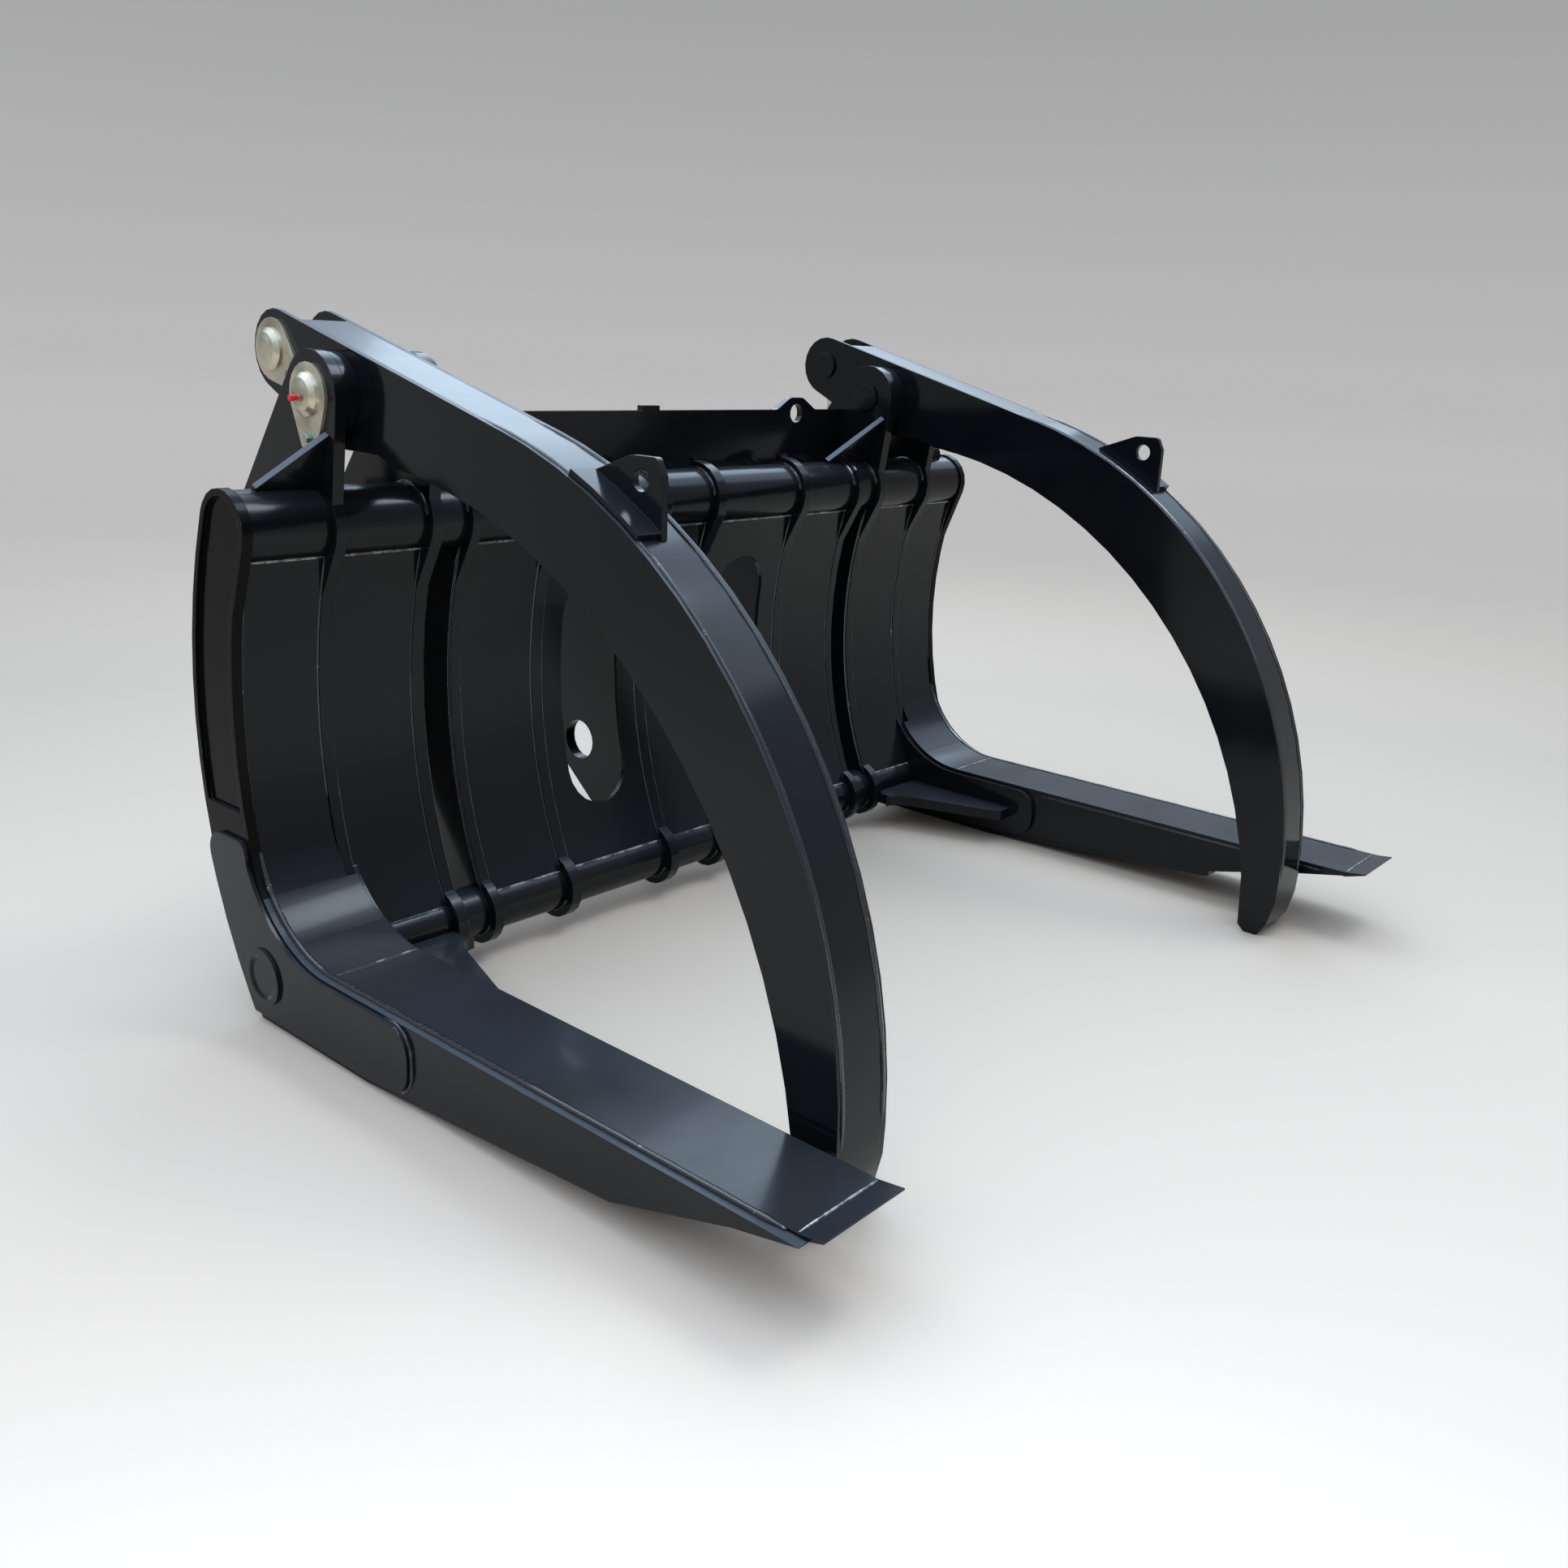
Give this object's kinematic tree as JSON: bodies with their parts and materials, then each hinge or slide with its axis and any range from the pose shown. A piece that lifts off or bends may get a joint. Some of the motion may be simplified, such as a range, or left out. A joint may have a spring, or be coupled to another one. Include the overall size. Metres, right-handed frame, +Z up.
{
  "type": "log grapple",
  "caption": "Wheel loader log grapple: curved plate frame on two tubes, two box-section tines and two curved clamp arms with hydraulic cylinders.",
  "frame": {"origin": "on the ground under the middle of the bounding box", "axes": "+Z up, +X along the tubes to the grapple's right as the driver sees it, -Y from the frame towards the tine tips"},
  "size_m": [2.4706, 1.866, 1.446],
  "materials": {
    "frame_paint": "glossy near-black enamel over welded steel plate",
    "tine_paint": "glossy near-black enamel, a little scuffed",
    "arm_paint": "glossy near-black enamel over welded steel plate",
    "cylinder_paint": "glossy near-black enamel",
    "zinc_pin": "yellow-passivated zinc plating",
    "chrome_rod": "hard chrome, polished"
  },
  "bodies": {
    "frame": {"top_tube": "frame_paint", "bottom_tube": "frame_paint", "center_skin": "frame_paint", "upper_back_plate": "frame_paint", "left_window_panel": "frame_paint", "left_side_skin": "frame_paint", "left_mid_skin": "frame_paint", "left_outer_skin": "frame_paint", "left_end_plate": "frame_paint", "left_outer_ear_rib": "frame_paint", "left_inner_ear_rib": "frame_paint", "left_slot_rib": "frame_paint", "left_outer_coupler_plate": "frame_paint", "left_inner_coupler_plate": "frame_paint", "left_tine_top_plate": "tine_paint", "left_tine_outer_plate": "tine_paint", "left_tine_inner_plate": "tine_paint", "left_tine_bottom_plate": "tine_paint", "left_cutting_edge": "tine_paint", "left_heel_doubler": "tine_paint", "left_root_gusset": "tine_paint", "left_pivot_pin": "zinc_pin", "left_base_pin": "zinc_pin", "right_window_panel": "frame_paint", "right_side_skin": "frame_paint", "right_mid_skin": "frame_paint", "right_outer_skin": "frame_paint", "right_end_plate": "frame_paint", "right_outer_ear_rib": "frame_paint", "right_inner_ear_rib": "frame_paint", "right_slot_rib": "frame_paint", "right_outer_coupler_plate": "frame_paint", "right_inner_coupler_plate": "frame_paint", "right_tine_top_plate": "tine_paint", "right_tine_outer_plate": "tine_paint", "right_tine_inner_plate": "tine_paint", "right_tine_bottom_plate": "tine_paint", "right_cutting_edge": "tine_paint", "right_heel_doubler": "tine_paint", "right_root_gusset": "tine_paint", "right_pivot_pin": "zinc_pin", "right_base_pin": "zinc_pin"},
    "left_arm": {"left_arm_outer_plate": "arm_paint", "left_arm_inner_plate": "arm_paint", "left_arm_top_plate": "arm_paint", "left_arm_bottom_plate": "arm_paint", "left_arm_hub": "arm_paint", "left_arm_lug": "arm_paint", "left_tail_pin": "zinc_pin"},
    "left_barrel": {"left_cylinder_barrel": "cylinder_paint"},
    "left_rod": {"left_cylinder_rod": "chrome_rod"},
    "right_arm": {"right_arm_outer_plate": "arm_paint", "right_arm_inner_plate": "arm_paint", "right_arm_top_plate": "arm_paint", "right_arm_bottom_plate": "arm_paint", "right_arm_hub": "arm_paint", "right_arm_lug": "arm_paint", "right_tail_pin": "zinc_pin"},
    "right_barrel": {"right_cylinder_barrel": "cylinder_paint"},
    "right_rod": {"right_cylinder_rod": "chrome_rod"}
  },
  "joints": [
    {"name": "left_arm_hinge", "type": "hinge", "parent": "frame", "child": "left_arm", "pos_m": [-0.9015, 0.598, 1.285], "axis": [-1, 0, 0], "range_deg": [0, 50]},
    {"name": "left_barrel_hinge", "type": "hinge", "parent": "frame", "child": "left_barrel", "pos_m": [-0.9015, 0.862, 0.5], "axis": [1, 0, 0], "range_deg": [0, 2.2]},
    {"name": "left_rod_slide", "type": "slide", "parent": "left_barrel", "child": "left_rod", "axis": [0, 0.0419, -0.9991], "range_m": [0, 0.195]},
    {"name": "right_arm_hinge", "type": "hinge", "parent": "frame", "child": "right_arm", "pos_m": [0.9015, 0.598, 1.285], "axis": [-1, 0, 0], "range_deg": [0, 50]},
    {"name": "right_barrel_hinge", "type": "hinge", "parent": "frame", "child": "right_barrel", "pos_m": [0.9015, 0.862, 0.5], "axis": [1, 0, 0], "range_deg": [0, 2.2]},
    {"name": "right_rod_slide", "type": "slide", "parent": "right_barrel", "child": "right_rod", "axis": [0, 0.0419, -0.9991], "range_m": [0, 0.195]}
  ],
  "couplings": [
    {"joint": "left_barrel_hinge", "follows": "left_arm_hinge", "ratio": 0.0416},
    {"joint": "left_rod_slide", "follows": "left_arm_hinge", "m_per_rad": 0.22175},
    {"joint": "right_barrel_hinge", "follows": "right_arm_hinge", "ratio": 0.0416},
    {"joint": "right_rod_slide", "follows": "right_arm_hinge", "m_per_rad": 0.22175}
  ]
}
